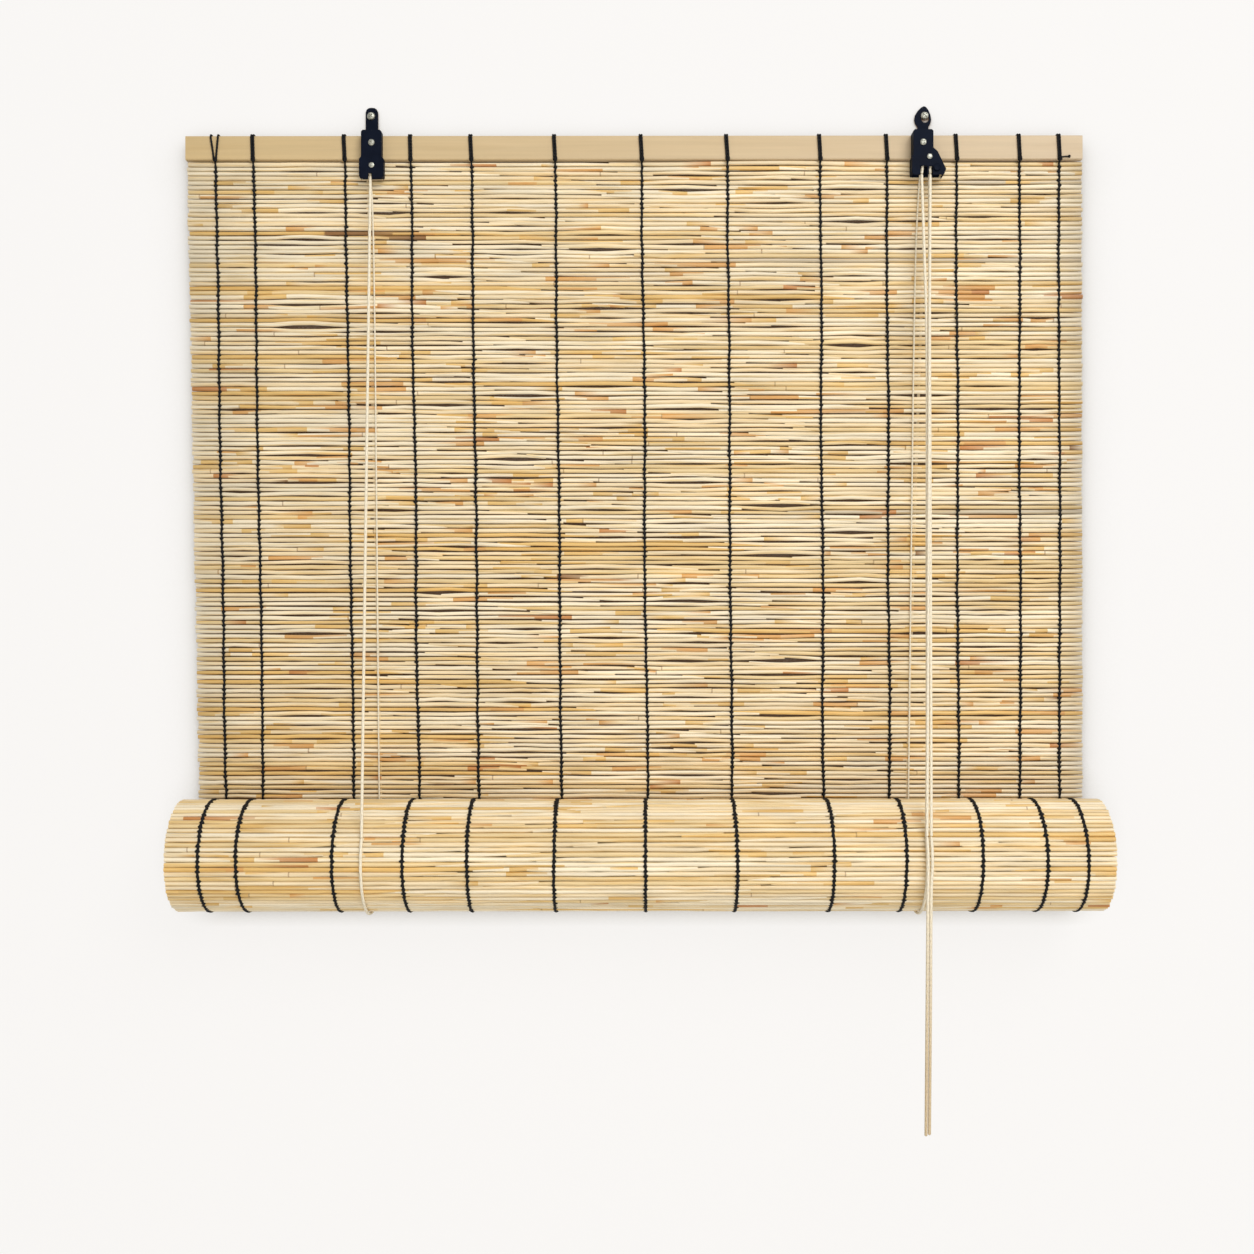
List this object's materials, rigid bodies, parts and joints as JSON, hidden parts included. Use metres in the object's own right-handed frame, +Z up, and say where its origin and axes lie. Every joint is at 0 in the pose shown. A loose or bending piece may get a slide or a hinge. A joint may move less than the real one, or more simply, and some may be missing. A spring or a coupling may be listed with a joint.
{
  "type": "reed roll-up blind",
  "caption": "Roll-up blind of straw-coloured reeds tied with black twine under a wooden head rail, part rolled up, with lift cords, pulleys, a cord lock and hanging pull cords.",
  "frame": {"origin": "on the wall plane, midway between the two wall screws", "axes": "+X to the right along the rail, +Y into the wall, +Z up"},
  "size_m": [0.9008, 0.1522, 0.9989],
  "materials": {
    "reed": "satin",
    "batten_wood": "matte",
    "twine": "matte",
    "cord": "matte",
    "black_steel": "satin",
    "zinc_steel": "satin",
    "nylon": "matte"
  },
  "bodies": {
    "head": {"head_rail": "batten_wood", "reed_mat": "reed", "rail_ties": "twine", "warp_thread_01": "twine", "warp_thread_02": "twine", "warp_thread_03": "twine", "warp_thread_04": "twine", "warp_thread_05": "twine", "warp_thread_06": "twine", "warp_thread_07": "twine", "warp_thread_08": "twine", "warp_thread_09": "twine", "warp_thread_10": "twine", "warp_thread_11": "twine", "warp_thread_12": "twine", "warp_thread_13": "twine", "left_bracket": "black_steel", "left_cheek": "black_steel", "left_collar": "zinc_steel", "left_axle_rivet": "zinc_steel", "left_rail_screw": "zinc_steel", "left_wall_screw": "zinc_steel", "right_bracket": "black_steel", "right_cheek": "black_steel", "right_collar": "zinc_steel", "right_axle_rivet": "zinc_steel", "right_rail_screw": "zinc_steel", "right_wall_screw": "zinc_steel", "cord_staples": "zinc_steel", "left_lift_cord_front": "cord", "left_lift_cord_back": "cord", "left_face_cord": "cord", "cross_cord": "cord", "right_lift_cord_front": "cord", "right_lift_cord_back": "cord", "right_face_cord": "cord", "right_lift_cord_head": "cord", "pull_cord_a": "cord", "pull_cord_b": "cord"},
    "lift_slings": {"left_sling": "cord", "right_sling": "cord", "pull_cord_a_tail": "cord", "pull_cord_b_tail": "cord"},
    "roll": {"rolled_mat": "reed", "roll_warp_threads": "twine", "bottom_batten": "batten_wood"},
    "left_pulley": {"left_pulley": "nylon"},
    "right_pulley_front": {"right_pulley_front": "nylon"},
    "right_pulley_rear": {"right_pulley_rear": "nylon"},
    "lock_pin": {"lock_pin": "black_steel"},
    "lock_roller": {"lock_roller": "nylon"}
  },
  "joints": [
    {"name": "roll_lift", "type": "slide", "parent": "head", "child": "lift_slings", "axis": [0, 0, 1], "range_m": [0, 0.55], "deforming": ["reed_mat", "warp_thread_01", "warp_thread_02", "warp_thread_03", "warp_thread_04", "warp_thread_05", "warp_thread_06", "warp_thread_07", "warp_thread_08", "warp_thread_09", "warp_thread_10", "warp_thread_11", "warp_thread_12", "warp_thread_13", "left_lift_cord_front", "right_lift_cord_front", "pull_cord_a", "pull_cord_b", "left_lift_cord_back", "right_lift_cord_back", "left_face_cord", "right_face_cord"]},
    {"name": "roll_turn", "type": "hinge", "parent": "lift_slings", "child": "roll", "pos_m": [0, -0.06155, -0.73795], "axis": [1, 0, 0], "range_deg": [-612, 0]},
    {"name": "left_pulley_turn", "type": "hinge", "parent": "head", "child": "left_pulley", "pos_m": [-0.2756, -0.0184, -0.0562], "axis": [0, 1, 0], "continuous": true},
    {"name": "right_pulley_front_turn", "type": "hinge", "parent": "head", "child": "right_pulley_front", "pos_m": [0.28, -0.0234, -0.0495], "axis": [0, 1, 0], "continuous": true},
    {"name": "right_pulley_rear_turn", "type": "hinge", "parent": "head", "child": "right_pulley_rear", "pos_m": [0.28, -0.018, -0.0495], "axis": [0, 1, 0], "continuous": true},
    {"name": "lock_pin_slide", "type": "slide", "parent": "head", "child": "lock_pin", "axis": [-0.4328, 0, 0.9015], "range_m": [0, 0.002]},
    {"name": "lock_roller_turn", "type": "hinge", "parent": "lock_pin", "child": "lock_roller", "pos_m": [0.2873, -0.0207, -0.0605], "axis": [0, 1, 0], "continuous": true}
  ],
  "couplings": [
    {"joint": "roll_turn", "follows": "roll_lift", "rad_per_m": -19.4},
    {"joint": "left_pulley_turn", "follows": "roll_lift", "rad_per_m": 400},
    {"joint": "right_pulley_front_turn", "follows": "roll_lift", "rad_per_m": 400},
    {"joint": "right_pulley_rear_turn", "follows": "roll_lift", "rad_per_m": 400}
  ]
}
